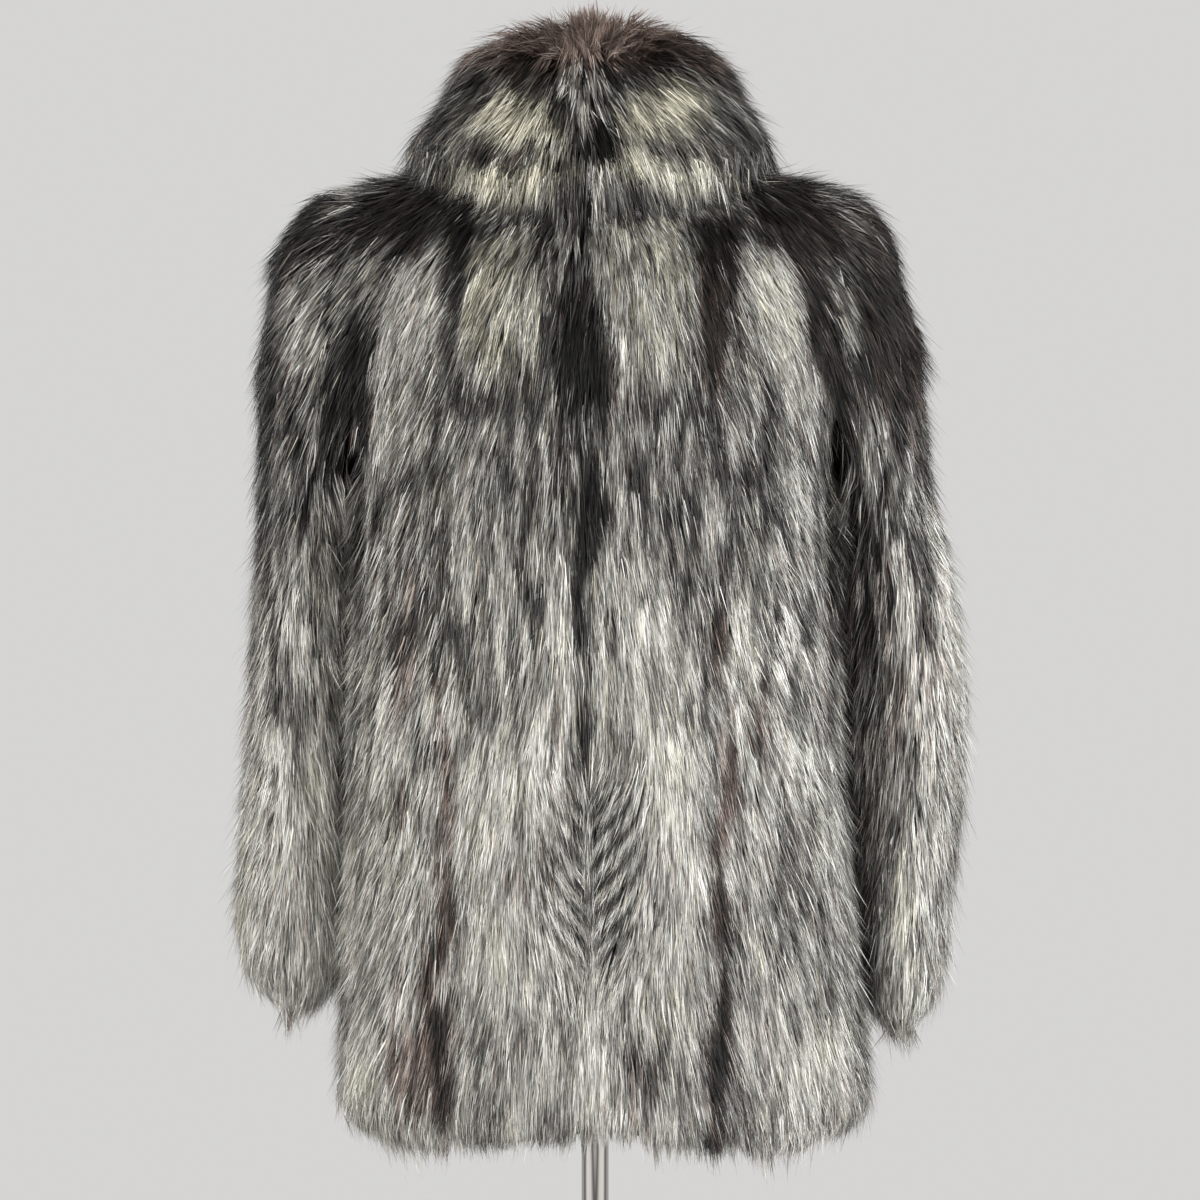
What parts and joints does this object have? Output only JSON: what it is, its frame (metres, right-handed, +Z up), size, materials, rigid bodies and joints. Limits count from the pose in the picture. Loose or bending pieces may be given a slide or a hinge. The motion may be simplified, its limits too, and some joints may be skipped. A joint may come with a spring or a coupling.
{
  "type": "fur coat on a limbless dress form with pole stand",
  "caption": "Hip-length long-haired fur coat with a high turned-down collar, worn by a limbless dress form on a pole with a round base.",
  "frame": {"origin": "centre of the base plate's underside, on the floor", "axes": "+Z up; the coat's front faces -Y and its back +Y; +X is the wearer's left"},
  "size_m": [0.5897, 0.3, 1.5],
  "materials": {
    "fur": "long lustrous silver-grey fur with dark roots, pale bands and black tips",
    "form_cloth": "matt black knitted cover",
    "chrome": "bright polished plating"
  },
  "bodies": {
    "root": {"back_middle": "fur", "back_left": "fur", "back_right": "fur", "front_left": "fur", "front_right": "fur", "sleeve_left": "fur", "sleeve_right": "fur", "collar_stand": "fur", "collar_fall": "fur", "form_torso": "form_cloth", "pole_flange": "chrome", "pole": "chrome", "base_boss": "chrome", "base_plate": "chrome"}
  },
  "joints": []
}
